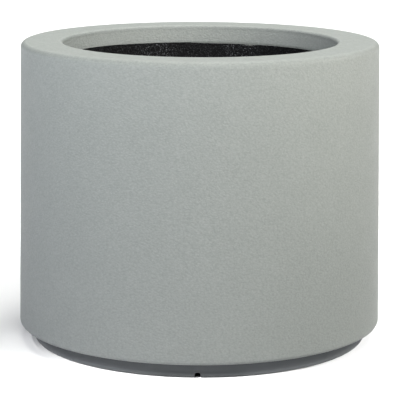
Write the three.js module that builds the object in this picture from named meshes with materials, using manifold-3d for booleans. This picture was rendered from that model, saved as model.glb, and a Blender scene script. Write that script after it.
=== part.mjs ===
// Round double-walled planter: textured outer shell with a wide flat rim and a
// turned-down lip, black inner liner flush under the lip, recessed foot with
// four drain notches, and a central drain with a lift-out plug.
// Millimetres, +Z up. Origin on the floor at the middle of the foot; the front
// is -Y, where one drain notch is.
import * as THREE from "three";
import {
  mergeVertices,
  toCreasedNormals,
} from "three/addons/utils/BufferGeometryUtils.js";
import Module from "manifold-3d";

const wasm = await Module();
wasm.setup();

// ---------------------------------------------------------------- dimensions
const HEIGHT = 508; // floor to rim top
const RIM_R = 300.5; // outer radius of the wall just below the rim's edge
const BASE_R = 307.5; // outer radius of the wall just above the bottom edge
const SKIN = 5; // thickness of the outer and inner mouldings
const RIM_EDGE_R = 9; // rounding of the rim's outer edge
const LIP_R = 230; // radius of the lip's face, which is the opening
const LIP_EDGE_R = 5.5; // rounding of the rim's inner edge
const LIP_DEPTH = 30.5; // rim top to the lip's lower edge
const BOTTOM_EDGE_R = 6; // rounding of the body's bottom edge
const FLANGE_R = 250; // inner radius of the flange turned in under the body

const FOOT_H = 28; // height of the recess under the body
const FOOT_R = 284; // outer radius of the foot
const FOOT_W = 22; // radial width of the foot
const FOOT_EDGE_R = 10; // rounding of the foot's bottom outer edge
const NOTCH_W = 13.6; // drain notch: width at the floor
const NOTCH_H = 8.9; // drain notch: height
const NOTCHES = 4;

const LINER_BASE_R = 224; // radius of the liner's face above its floor
const FLOOR_TOP = 62; // liner's floor at the drain
const FLOOR_EDGE_TOP = 64; // liner's floor at its outer edge: it falls to the drain
const FLOOR_BOTTOM = 56; // underside of the liner's floor
const LINER_CORNER_R = 22;

const PANEL_T = 10; // base panel
const PANEL_R = 289;
const CORE_R = 188; // floor core
const CORE_HOLE_R = 17;

const RIM_CORE_T = 18;
const BAND_T = 4.5; // joint band behind the lip and liner
const BAND_H = 43;
const HOOP_HEIGHTS = { wall_hoop_lower: 188, wall_hoop_upper: 340 };
const HOOP_DEPTH = 24;
const HOOP_H_WALL = 46;
const HOOP_H_TOP = 24;

const BORE_R = 12; // drain bore
const SEAT_R = 13.6; // mouth of the plug's tapered seat
const TUBE_R = 15;
const DRAIN_FLANGE_R = 28;
const DRAIN_FLANGE_T = 3;
const TUBE_BOTTOM = 14;
const NUT_FLATS = 46;
const NUT_T = 11;

const PLUG_HEAD_R = 19;
const LUG_HOLE_Z = 79; // axis of the hole that holds the pull ring
const LUG_HOLE_R = 2.7;
const LUG_T = 6;
const RING_R = 14; // pull ring: radius of its wire's centre line
const RING_WIRE_R = 1.5;
const GAP = 0.3; // clearance left between pieces that touch

const SEG = 64; // facets round the large turned pieces
const SEG_SMALL = 36; // facets round the drain pieces

// ---------------------------------------------------------------- materials
const paint = () =>
  new THREE.MeshStandardMaterial({ color: 0xa9aea7, roughness: 0.62, metalness: 0 });
const black = () =>
  new THREE.MeshStandardMaterial({ color: 0x16181a, roughness: 0.45, metalness: 0 });
const footPaint = () =>
  new THREE.MeshStandardMaterial({ color: 0x7f8587, roughness: 0.55, metalness: 0 });
const laminate = () =>
  new THREE.MeshStandardMaterial({ color: 0x8f8a6a, roughness: 0.6, metalness: 0 });
const ply = () =>
  new THREE.MeshStandardMaterial({ color: 0xa98a5c, roughness: 0.75, metalness: 0 });
const foam = () =>
  new THREE.MeshStandardMaterial({ color: 0xd9d2b4, roughness: 0.9, metalness: 0 });
const nylon = () =>
  new THREE.MeshStandardMaterial({ color: 0x26282a, roughness: 0.4, metalness: 0 });
const rubber = () =>
  new THREE.MeshStandardMaterial({ color: 0x1b1b1c, roughness: 0.75, metalness: 0 });
const steel = () =>
  new THREE.MeshStandardMaterial({ color: 0xc6c8ca, roughness: 0.25, metalness: 1 });

// ---------------------------------------------------------------- helpers
const group = new THREE.Group();
group.name = "round_planter";

// Points of an arc in the (radius, height) plane, angles in degrees.
function arc(r, z, radius, from, to, steps) {
  return Array.from({ length: steps + 1 }, (_, i) => {
    const a = THREE.MathUtils.degToRad(from + ((to - from) * i) / steps);
    return [r + radius * Math.cos(a), z + radius * Math.sin(a)];
  });
}

// A solid turned about Z from a profile. A profile with both ends on the axis
// is closed by the axis; any other closes on its own first point.
function turned(profile, segments = SEG) {
  const onAxis = profile[0][0] === 0 && profile.at(-1)[0] === 0;
  const points = (onAxis ? profile : [...profile, profile[0]]).map(
    ([r, z]) => new THREE.Vector2(r, z),
  );
  return solid(new THREE.LatheGeometry(points, segments).rotateX(Math.PI / 2));
}

function solid(geometry) {
  const g = geometry.index ? geometry.toNonIndexed() : geometry.clone();
  g.deleteAttribute("normal");
  g.deleteAttribute("uv");
  const merged = mergeVertices(g, 1e-3);
  const index = merged.index.array;
  const build = (flip) => {
    const triVerts = [];
    for (let i = 0; i < index.length; i += 3) {
      const [a, b, c] = index.slice(i, i + 3);
      if (a === b || b === c || a === c) continue;
      triVerts.push(a, flip ? c : b, flip ? b : c);
    }
    return new wasm.Manifold(
      new wasm.Mesh({
        numProp: 3,
        vertProperties: merged.attributes.position.array,
        triVerts: new Uint32Array(triVerts),
      }),
    );
  };
  const made = build(false);
  return made.volume() < 0 ? build(true) : made;
}

function add(name, made, material) {
  const m = made.getMesh();
  const positions = new Float32Array(m.numVert * 3);
  for (let i = 0; i < m.numVert; i++)
    positions.set(m.vertProperties.subarray(i * m.numProp, i * m.numProp + 3), i * 3);
  const geometry = new THREE.BufferGeometry()
    .setAttribute("position", new THREE.BufferAttribute(positions, 3))
    .setIndex(new THREE.BufferAttribute(m.triVerts.slice(), 1));
  const mesh = new THREE.Mesh(
    toCreasedNormals(geometry, THREE.MathUtils.degToRad(32)),
    material,
  );
  mesh.name = name;
  group.add(mesh);
}

// Outer radius of the slightly conical wall at height z.
const WALL_LOW = FOOT_H + BOTTOM_EDGE_R;
const WALL_HIGH = HEIGHT - RIM_EDGE_R;
const wallR = (z) =>
  BASE_R + ((RIM_R - BASE_R) * (z - WALL_LOW)) / (WALL_HIGH - WALL_LOW);

// ---------------------------------------------------------------- outer shell
// Flange, rounded bottom edge, wall, rounded rim edge, flat rim, rounded inner
// edge and lip, in one skin of even thickness.
const backR = LIP_R + SKIN;
const innerFillet = RIM_EDGE_R - SKIN;
const bottomFillet = BOTTOM_EDGE_R - SKIN;
add(
  "outer_shell",
  turned([
    [FLANGE_R, FOOT_H],
    ...arc(BASE_R - BOTTOM_EDGE_R, WALL_LOW, BOTTOM_EDGE_R, -90, 0, 5),
    ...arc(RIM_R - RIM_EDGE_R, WALL_HIGH, RIM_EDGE_R, 0, 90, 6),
    ...arc(LIP_R + LIP_EDGE_R, HEIGHT - LIP_EDGE_R, LIP_EDGE_R, 90, 180, 5),
    [LIP_R, HEIGHT - LIP_DEPTH],
    [backR, HEIGHT - LIP_DEPTH],
    [backR, HEIGHT - LIP_EDGE_R],
    [LIP_R + LIP_EDGE_R, HEIGHT - SKIN],
    ...arc(RIM_R - RIM_EDGE_R, WALL_HIGH, innerFillet, 90, 0, 2),
    ...arc(BASE_R - BOTTOM_EDGE_R, WALL_LOW, bottomFillet, 0, -90, 2),
    [FLANGE_R, FOOT_H + SKIN],
  ]),
  paint(),
);

// ---------------------------------------------------------------- inner liner
const linerTop = HEIGHT - LIP_DEPTH - GAP;
const linerCorner = LINER_CORNER_R + 6;
add(
  "inner_liner",
  turned([
    [TUBE_R + 0.6, FLOOR_TOP],
    [DRAIN_FLANGE_R + 4, FLOOR_TOP],
    ...arc(
      LINER_BASE_R - LINER_CORNER_R,
      FLOOR_EDGE_TOP + LINER_CORNER_R,
      LINER_CORNER_R,
      -90,
      0,
      5,
    ),
    [LIP_R, linerTop],
    [backR, linerTop],
    ...arc(
      LINER_BASE_R + SKIN - linerCorner,
      FLOOR_BOTTOM + linerCorner,
      linerCorner,
      0,
      -90,
      4,
    ),
    [TUBE_R + 0.6, FLOOR_BOTTOM],
  ]),
  black(),
);

// Bonded strip behind the seam between lip and liner.
const bandR = backR + GAP + 0.1;
const bandTop = HEIGHT - SKIN - 7.5;
add(
  "lip_joint_band",
  turned([
    [bandR, bandTop - BAND_H],
    [bandR + BAND_T, bandTop - BAND_H + 3],
    [bandR + BAND_T, bandTop],
    [bandR, bandTop],
  ]),
  laminate(),
);

// Core ring under the flat rim.
const coreTop = HEIGHT - SKIN - GAP;
add(
  "rim_core",
  turned([
    [bandR + BAND_T + 1.2, coreTop - RIM_CORE_T],
    [RIM_R - SKIN - 5.5, coreTop - RIM_CORE_T],
    [RIM_R - SKIN - 5.5, coreTop],
    [bandR + BAND_T + 1.2, coreTop],
  ]),
  ply(),
);

// Stiffening hoops on the inside of the outer wall.
for (const [name, z] of Object.entries(HOOP_HEIGHTS)) {
  const [lo, hi] = [z - HOOP_H_WALL / 2, z + HOOP_H_WALL / 2];
  const face = (h) => wallR(h) - SKIN - GAP - 0.1;
  add(
    name,
    turned([
      [face(lo), lo],
      [face(hi), hi],
      [face(z) - HOOP_DEPTH, z + HOOP_H_TOP / 2],
      [face(z) - HOOP_DEPTH, z - HOOP_H_TOP / 2],
    ]),
    foam(),
  );
}

// ---------------------------------------------------------------- base
const panelBottom = FOOT_H + SKIN + GAP;
add(
  "base_panel",
  turned([
    [CORE_HOLE_R, panelBottom],
    [PANEL_R, panelBottom],
    [PANEL_R, panelBottom + PANEL_T],
    [CORE_HOLE_R, panelBottom + PANEL_T],
  ]),
  laminate(),
);
add(
  "floor_core",
  turned([
    [CORE_HOLE_R, panelBottom + PANEL_T + GAP],
    [CORE_R, panelBottom + PANEL_T + GAP],
    [CORE_R, FLOOR_BOTTOM - GAP],
    [CORE_HOLE_R, FLOOR_BOTTOM - GAP],
  ]),
  ply(),
);

// Foot: a ring with an arched notch through its bottom edge on each side.
const footTop = FOOT_H - GAP;
let foot = turned([
  [FOOT_R - FOOT_W, 1.5],
  [FOOT_R - FOOT_W + 1.5, 0],
  ...arc(FOOT_R - FOOT_EDGE_R, FOOT_EDGE_R, FOOT_EDGE_R, -90, 0, 4),
  [FOOT_R, footTop],
  [FOOT_R - FOOT_W, footTop],
]);
const arch = new THREE.Shape();
arch.moveTo(-NOTCH_W * 0.62, -2);
arch.quadraticCurveTo(-NOTCH_W * 0.4, 0.6, -NOTCH_W * 0.35, NOTCH_H * 0.5);
arch.quadraticCurveTo(-NOTCH_W * 0.31, NOTCH_H, -NOTCH_W * 0.13, NOTCH_H);
arch.lineTo(NOTCH_W * 0.13, NOTCH_H);
arch.quadraticCurveTo(NOTCH_W * 0.31, NOTCH_H, NOTCH_W * 0.35, NOTCH_H * 0.5);
arch.quadraticCurveTo(NOTCH_W * 0.4, 0.6, NOTCH_W * 0.62, -2);
arch.closePath();
for (let i = 0; i < NOTCHES; i++) {
  const cutter = new THREE.ExtrudeGeometry(arch, {
    depth: FOOT_W + 12,
    bevelEnabled: false,
    curveSegments: 4,
  })
    .rotateX(Math.PI / 2)
    .translate(0, -(FOOT_R - FOOT_W - 6), 0)
    .rotateZ((i * 2 * Math.PI) / NOTCHES);
  foot = foot.subtract(solid(cutter));
}
add("foot_ring", foot, footPaint());

// ---------------------------------------------------------------- drain
const flangeBottom = FLOOR_TOP + 2 + GAP;
const flangeTop = flangeBottom + DRAIN_FLANGE_T;
add(
  "drain_spigot",
  turned(
    [
      [BORE_R, TUBE_BOTTOM],
      [TUBE_R - 0.9, TUBE_BOTTOM],
      [TUBE_R, TUBE_BOTTOM + 1.2],
      [TUBE_R, flangeBottom],
      [DRAIN_FLANGE_R - 0.4, flangeBottom],
      [DRAIN_FLANGE_R, flangeBottom + 0.6],
      [DRAIN_FLANGE_R, flangeTop - 1.2],
      [DRAIN_FLANGE_R - 1.4, flangeTop],
      [SEAT_R + 0.7, flangeTop],
      [SEAT_R, flangeTop - 0.7],
      [BORE_R, flangeTop - 11.3],
    ],
    SEG_SMALL,
  ),
  nylon(),
);
add(
  "drain_gasket",
  turned(
    [
      [TUBE_R + GAP, FLOOR_TOP + GAP],
      [DRAIN_FLANGE_R - 1.5, FLOOR_TOP + GAP],
      [DRAIN_FLANGE_R - 1.5, flangeBottom - GAP],
      [TUBE_R + GAP, flangeBottom - GAP],
    ],
    SEG_SMALL,
  ),
  rubber(),
);
const washerTop = panelBottom - GAP;
add(
  "drain_washer",
  turned(
    [
      [TUBE_R + GAP, washerTop - 2.5],
      [DRAIN_FLANGE_R, washerTop - 2.5],
      [DRAIN_FLANGE_R, washerTop],
      [TUBE_R + GAP, washerTop],
    ],
    SEG_SMALL,
  ),
  rubber(),
);
const nutTop = washerTop - 2.5 - GAP;
const hexR = NUT_FLATS / 2 / Math.cos(Math.PI / 6);
add(
  "drain_nut",
  solid(
    new THREE.CylinderGeometry(hexR, hexR, NUT_T, 6)
      .rotateX(Math.PI / 2)
      .translate(0, 0, nutTop - NUT_T / 2),
  )
    .intersect(
      turned(
        [
          [0, nutTop - NUT_T - 1],
          [hexR - 3, nutTop - NUT_T - 1],
          [hexR + 0.5, nutTop - NUT_T + 2],
          [hexR + 0.5, nutTop + 1],
          [0, nutTop + 1],
        ],
        SEG_SMALL,
      ),
    )
    .subtract(
      turned(
        [
          [0, nutTop - NUT_T - 2],
          [TUBE_R + GAP, nutTop - NUT_T - 2],
          [TUBE_R + GAP, nutTop + 2],
          [0, nutTop + 2],
        ],
        SEG_SMALL,
      ),
    ),
  nylon(),
);

// Plug: tapered bung, flat head and an upright lug with a hole for the ring.
const headBottom = flangeTop + GAP;
let plug = turned(
  [
    [0, headBottom - 13.2],
    [10.2, headBottom - 13.2],
    [11.4, headBottom - 12],
    [SEAT_R - 0.5, headBottom - 1],
    [SEAT_R - 0.5, headBottom],
    [PLUG_HEAD_R - 0.6, headBottom],
    [PLUG_HEAD_R, headBottom + 0.6],
    [PLUG_HEAD_R, headBottom + 2.6],
    [PLUG_HEAD_R - 1.6, headBottom + 4.2],
    [12, headBottom + 5],
    [0, headBottom + 5.2],
  ],
  SEG_SMALL,
);
const lug = new THREE.Shape();
lug.moveTo(-7.5, headBottom + 4);
lug.lineTo(7.5, headBottom + 4);
lug.quadraticCurveTo(5.6, headBottom + 6.4, 5.4, LUG_HOLE_Z);
lug.absarc(0, LUG_HOLE_Z, 5.4, 0, Math.PI, false);
lug.quadraticCurveTo(-5.6, headBottom + 6.4, -7.5, headBottom + 4);
const hole = new THREE.Path();
hole.absarc(0, LUG_HOLE_Z, LUG_HOLE_R, 0, 2 * Math.PI, false);
lug.holes.push(hole);
plug = plug.add(
  solid(
    new THREE.ExtrudeGeometry(lug, {
      depth: LUG_T,
      bevelEnabled: false,
      curveSegments: 8,
    })
      .rotateX(Math.PI / 2)
      .rotateZ(Math.PI / 2)
      .translate(-LUG_T / 2, 0, 0),
  ),
);
add("drain_plug", plug, rubber());

// Pull ring: lies forward from the lug, its far side just over the flange.
const droop = Math.asin(
  (LUG_HOLE_Z - (flangeTop + GAP + RING_WIRE_R)) / (2 * RING_R),
);
add(
  "pull_ring",
  solid(
    new THREE.TorusGeometry(RING_R, RING_WIRE_R, 8, 36)
      .translate(0, -RING_R, 0)
      .rotateX(droop)
      .translate(0, 0, LUG_HOLE_Z),
  ),
  steel(),
);

export default group;
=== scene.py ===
# Looks of the round planter: fine meshes, procedural finishes, floor, lights
# and camera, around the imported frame. Metres, +Z up, front at -Y.
import math

import bmesh
import bpy
import numpy as np
from mathutils import Matrix, Vector, noise


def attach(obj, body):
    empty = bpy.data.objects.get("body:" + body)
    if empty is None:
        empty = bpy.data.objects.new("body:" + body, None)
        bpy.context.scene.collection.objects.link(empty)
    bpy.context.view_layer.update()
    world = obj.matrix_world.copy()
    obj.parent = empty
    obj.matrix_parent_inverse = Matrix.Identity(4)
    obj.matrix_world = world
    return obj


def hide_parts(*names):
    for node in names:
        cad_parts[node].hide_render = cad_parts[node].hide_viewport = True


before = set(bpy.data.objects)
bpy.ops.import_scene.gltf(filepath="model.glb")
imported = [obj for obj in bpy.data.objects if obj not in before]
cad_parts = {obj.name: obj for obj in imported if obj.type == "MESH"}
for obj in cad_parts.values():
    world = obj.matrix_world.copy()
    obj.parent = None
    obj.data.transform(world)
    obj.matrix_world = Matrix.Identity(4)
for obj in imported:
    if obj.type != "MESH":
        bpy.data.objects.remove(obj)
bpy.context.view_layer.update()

scene = bpy.context.scene
MM = 0.001

# ---------------------------------------------------------------- the frame's sizes, mm
HEIGHT = 508.0
RIM_R = 300.5
BASE_R = 307.5
SKIN = 5.0
RIM_EDGE_R = 9.0
LIP_R = 230.0
LIP_EDGE_R = 5.5
LIP_DEPTH = 30.5
BOTTOM_EDGE_R = 6.0
FLANGE_R = 250.0
FOOT_H = 28.0
FOOT_R = 284.0
FOOT_W = 22.0
FOOT_EDGE_R = 10.0
NOTCH_W = 13.6
NOTCH_H = 8.9
LINER_BASE_R = 224.0
FLOOR_TOP = 62.0
FLOOR_EDGE_TOP = 64.0
FLOOR_BOTTOM = 56.0
LINER_CORNER_R = 22.0
GAP = 0.3
TUBE_R = 15.0
BORE_R = 12.0
SEAT_R = 13.6
FLANGE_TOP = 67.3
FLANGE_BOTTOM = 64.3
DRAIN_FLANGE_R = 28.0
TUBE_BOTTOM = 14.0
LUG_HOLE_Z = 79.0
RING_R = 14.0
RING_WIRE_R = 1.5


# ---------------------------------------------------------------- profiles
def arc(r, z, radius, start, end, steps):
    """Points of an arc in the (radius, height) plane, angles in degrees."""
    out = []
    for i in range(steps + 1):
        a = math.radians(start + (end - start) * i / steps)
        out.append((r + radius * math.cos(a), z + radius * math.sin(a)))
    return out


def line(p, q, steps):
    """Points from p to q, both ends included."""
    return [
        (p[0] + (q[0] - p[0]) * i / steps, p[1] + (q[1] - p[1]) * i / steps)
        for i in range(steps + 1)
    ]


def clean(points, least=1e-4):
    """The profile without points that repeat."""
    out = []
    for p in points:
        if not out or math.hypot(p[0] - out[-1][0], p[1] - out[-1][1]) > least:
            out.append(p)
    if math.hypot(out[0][0] - out[-1][0], out[0][1] - out[-1][1]) <= least:
        out.pop()
    return out


def rounded(corners, radius, steps=4):
    """A closed profile with each corner rounded."""
    out = []
    n = len(corners)
    for i, c in enumerate(corners):
        a, b, d = Vector(corners[i - 1]), Vector(c), Vector(corners[(i + 1) % n])
        u, v = (a - b), (d - b)
        cut = min(radius, u.length * 0.45, v.length * 0.45)
        p, q = b + u.normalized() * cut, b + v.normalized() * cut
        for k in range(steps + 1):
            t = k / steps
            m = p * (1 - t) ** 2 + b * (2 * t * (1 - t)) + q * t**2
            out.append((m.x, m.y))
    return out


# ---------------------------------------------------------------- meshes
def mesh_object(name, points, faces, sharp=35):
    mesh = bpy.data.meshes.new(name)
    mesh.from_pydata([tuple(p) for p in points], [], faces)
    mesh.validate()
    mesh.polygons.foreach_set("use_smooth", [True] * len(mesh.polygons))
    if sharp:
        mesh.set_sharp_from_angle(angle=math.radians(sharp))
    mesh.update()
    obj = bpy.data.objects.new(name, mesh)
    scene.collection.objects.link(obj)
    return obj


def turned(name, profile, segments, shift=None, sharp=35):
    """A closed ring turned about Z from a closed (radius, height) profile in mm. shift(points, profile row) may move the points."""
    pts = np.array(clean(profile), float)
    area = 0.5 * np.sum(
        pts[:, 0] * np.roll(pts[:, 1], -1) - np.roll(pts[:, 0], -1) * pts[:, 1]
    )
    if area < 0:
        pts = pts[::-1]
    rows, cols = len(pts), segments
    theta = np.arange(cols) * 2 * math.pi / cols
    r = np.repeat(pts[:, 0][:, None], cols, 1)
    z = np.repeat(pts[:, 1][:, None], cols, 1)
    t = np.repeat(theta[None, :], rows, 0)
    if shift is not None:
        r, z = shift(r, z, t)
    points = np.stack([r * np.cos(t), r * np.sin(t), z], -1).reshape(-1, 3) * MM
    i, j = np.meshgrid(np.arange(rows), np.arange(cols), indexing="ij")
    i2, j2 = (i + 1) % rows, (j + 1) % cols
    faces = np.stack(
        [i * cols + j, i * cols + j2, i2 * cols + j2, i2 * cols + j], -1
    ).reshape(-1, 4)
    return mesh_object(name, points.tolist(), faces.tolist(), sharp)


def turned_solid(name, profile, segments, sharp=35):
    """A solid turned about Z from a profile whose two ends are on the axis."""
    pts = [p for p in profile if p[0] > 1e-6]
    low, high = profile[0], profile[-1]
    theta = [2 * math.pi * j / segments for j in range(segments)]
    points = [
        (r * math.cos(a) * MM, r * math.sin(a) * MM, z * MM)
        for r, z in pts
        for a in theta
    ]
    bottom, top = len(points), len(points) + 1
    points += [(0, 0, low[1] * MM), (0, 0, high[1] * MM)]
    faces = []
    for i in range(len(pts) - 1):
        for j in range(segments):
            k = (j + 1) % segments
            faces.append(
                (
                    i * segments + j,
                    i * segments + k,
                    (i + 1) * segments + k,
                    (i + 1) * segments + j,
                )
            )
    last = (len(pts) - 1) * segments
    for j in range(segments):
        k = (j + 1) % segments
        faces.append((bottom, k, j))
        faces.append((top, last + j, last + k))
    return mesh_object(name, points, faces, sharp)


def applied(obj, *modifiers):
    """obj with its modifiers applied to its mesh."""
    bpy.context.view_layer.update()
    graph = bpy.context.evaluated_depsgraph_get()
    mesh = bpy.data.meshes.new_from_object(obj.evaluated_get(graph))
    old = obj.data
    obj.modifiers.clear()
    obj.data = mesh
    bpy.data.meshes.remove(old)
    mesh.name = obj.name
    return obj


def boolean(obj, other, operation):
    m = obj.modifiers.new("cut", "BOOLEAN")
    m.operation = operation
    m.solver = "EXACT"
    m.object = other
    applied(obj)
    bpy.data.objects.remove(other)
    return obj


def smooth(obj, angle):
    obj.data.polygons.foreach_set("use_smooth", [True] * len(obj.data.polygons))
    obj.data.set_sharp_from_angle(angle=math.radians(angle))
    return obj


def field(r, z, t, size, seed):
    """Smooth noise from -1 to 1 over points of a turned piece, with lumps of about size mm."""
    x, y = r * np.cos(t) / size, r * np.sin(t) / size
    w = z / size
    out = np.empty(r.size)
    for k, (a, b, c) in enumerate(zip(x.ravel(), y.ravel(), w.ravel())):
        out[k] = noise.noise((a + seed, b - seed, c + 2.7 * seed))
    return out.reshape(r.shape)


def point_values(obj, name, values):
    """A number for each point of obj's mesh, which its material reads."""
    a = obj.data.attributes.new(name, "FLOAT", "POINT")
    a.data.foreach_set("value", np.asarray(values, np.float32))


def placed(obj, body, slot, *nodes):
    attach(obj, body)
    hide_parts(*nodes)
    return obj


# ---------------------------------------------------------------- node helpers
class Nodes:
    """Short names for making one material's nodes."""

    def __init__(self, name):
        self.material = bpy.data.materials.new(name)
        self.material.use_nodes = True
        self.tree = self.material.node_tree
        self.tree.nodes.clear()
        self.out = self.tree.nodes.new("ShaderNodeOutputMaterial")
        self.shader = self.tree.nodes.new("ShaderNodeBsdfPrincipled")
        self.link(self.shader.outputs[0], self.out.inputs["Surface"])
        self.where = self.tree.nodes.new("ShaderNodeTexCoord").outputs["Object"]

    def link(self, a, b):
        self.tree.links.new(a, b)

    def put(self, socket, value):
        if isinstance(value, bpy.types.NodeSocket):
            self.link(value, socket)
        else:
            socket.default_value = value

    def set(self, **values):
        for name, value in values.items():
            self.put(self.shader.inputs[name.replace("_", " ")], value)

    def scaled(self, scale, shift=(0, 0, 0), turn=(0, 0, 0)):
        n = self.tree.nodes.new("ShaderNodeMapping")
        self.link(self.where, n.inputs["Vector"])
        n.inputs["Scale"].default_value = scale
        n.inputs["Location"].default_value = shift
        n.inputs["Rotation"].default_value = turn
        return n.outputs[0]

    def noise(self, size, detail=2.0, rough=0.5, distortion=0.0, vector=None, lacunarity=2.0):
        """Noise whose lumps are about size mm, from 0 to 1."""
        n = self.tree.nodes.new("ShaderNodeTexNoise")
        self.link(vector or self.where, n.inputs["Vector"])
        n.inputs["Scale"].default_value = 1000.0 / size
        n.inputs["Detail"].default_value = detail
        n.inputs["Roughness"].default_value = rough
        n.inputs["Distortion"].default_value = distortion
        n.inputs["Lacunarity"].default_value = lacunarity
        return n.outputs["Fac"]

    def cells(self, size, feature="SMOOTH_F1", smoothness=0.5, vector=None, output="Distance"):
        n = self.tree.nodes.new("ShaderNodeTexVoronoi")
        n.feature = feature
        self.link(vector or self.where, n.inputs["Vector"])
        n.inputs["Scale"].default_value = 1000.0 / size
        if feature == "SMOOTH_F1":
            n.inputs["Smoothness"].default_value = smoothness
        return n.outputs[output]

    def math(self, op, a, b=0.0, c=0.0, clamp=False):
        n = self.tree.nodes.new("ShaderNodeMath")
        n.operation = op
        n.use_clamp = clamp
        self.put(n.inputs[0], a)
        self.put(n.inputs[1], b)
        self.put(n.inputs[2], c)
        return n.outputs[0]

    def span(self, value, low, high, to_low=0.0, to_high=1.0, smooth=False):
        n = self.tree.nodes.new("ShaderNodeMapRange")
        n.interpolation_type = "SMOOTHSTEP" if smooth else "LINEAR"
        self.put(n.inputs["Value"], value)
        self.put(n.inputs["From Min"], low)
        self.put(n.inputs["From Max"], high)
        self.put(n.inputs["To Min"], to_low)
        self.put(n.inputs["To Max"], to_high)
        return n.outputs[0]

    def tinted(self, colour, level):
        """The colour made lighter or darker by a number."""
        n = self.tree.nodes.new("ShaderNodeVectorMath")
        n.operation = "SCALE"
        self.link(colour, n.inputs[0])
        self.put(n.inputs["Scale"], level)
        return n.outputs[0]

    def mix(self, share, a, b):
        """Colour a where share is 0, b where it is 1."""
        n = self.tree.nodes.new("ShaderNodeMix")
        n.data_type = "RGBA"
        self.put(n.inputs[0], share)
        self.put(n.inputs[6], a if not isinstance(a, tuple) else (*a, 1.0))
        self.put(n.inputs[7], b if not isinstance(b, tuple) else (*b, 1.0))
        return n.outputs[2]

    def xyz(self, vector=None):
        n = self.tree.nodes.new("ShaderNodeSeparateXYZ")
        self.link(vector or self.where, n.inputs[0])
        return n.outputs

    def value_of(self, name):
        n = self.tree.nodes.new("ShaderNodeAttribute")
        n.attribute_name = name
        return n.outputs["Fac"]

    def bump(self, height, millimetres, strength=1.0, under=None):
        n = self.tree.nodes.new("ShaderNodeBump")
        n.inputs["Strength"].default_value = strength
        n.inputs["Distance"].default_value = millimetres * MM
        self.link(height, n.inputs["Height"])
        if under is not None:
            self.link(under, n.inputs["Normal"])
        return n.outputs[0]

    def wave(self, size, distortion=0.0, detail=2.0, detail_scale=1.0, direction="X", vector=None, bands=True):
        n = self.tree.nodes.new("ShaderNodeTexWave")
        n.wave_type = "BANDS" if bands else "RINGS"
        if bands:
            n.bands_direction = direction
        else:
            n.rings_direction = direction
        self.link(vector or self.where, n.inputs["Vector"])
        n.inputs["Scale"].default_value = 1000.0 / size / 20.0 * 2 * math.pi / 2
        n.inputs["Distortion"].default_value = distortion
        n.inputs["Detail"].default_value = detail
        n.inputs["Detail Scale"].default_value = detail_scale
        return n.outputs["Fac"]


# ---------------------------------------------------------------- finishes
PAINT = (0.410, 0.437, 0.407)
# Lit and shaded copies of the paint: a painted highlight on the crests of the relief, painted shade in its cavities.
PAINT_LIT_CREST = (0.455, 0.483, 0.452)
PAINT_SHADED_CAVITY = (0.362, 0.388, 0.362)
BLACK = (0.0060, 0.0063, 0.0070)


def paint_height(m):
    """Pebbled spray texture: soft lumps 3 to 5 mm apart, a little wider than high, with a finer grain on them."""
    flat = m.scaled((1.0, 1.0, 1.4))
    lumps = m.noise(3.6, detail=1.0, rough=0.5, distortion=0.2, vector=flat)
    grain = m.noise(1.8, detail=1.0, rough=0.5, vector=flat)
    cell = m.cells(4.6, smoothness=0.5, vector=flat)
    height = m.math("MULTIPLY_ADD", grain, 0.30, m.math("MULTIPLY", lumps, 1.0))
    return m.math("MULTIPLY_ADD", cell, -0.45, height)


def black_height(m):
    """Rough flow coat: crowded grains 2 to 3 mm across over slow waves."""
    grains = m.cells(3.2, smoothness=0.25)
    fine = m.noise(1.8, detail=2.0, rough=0.6)
    slow = m.noise(26.0, detail=1.0)
    h = m.math("MULTIPLY_ADD", fine, 0.7, m.math("MULTIPLY", grains, -1.0))
    return m.math("MULTIPLY_ADD", slow, 1.2, h)


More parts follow.
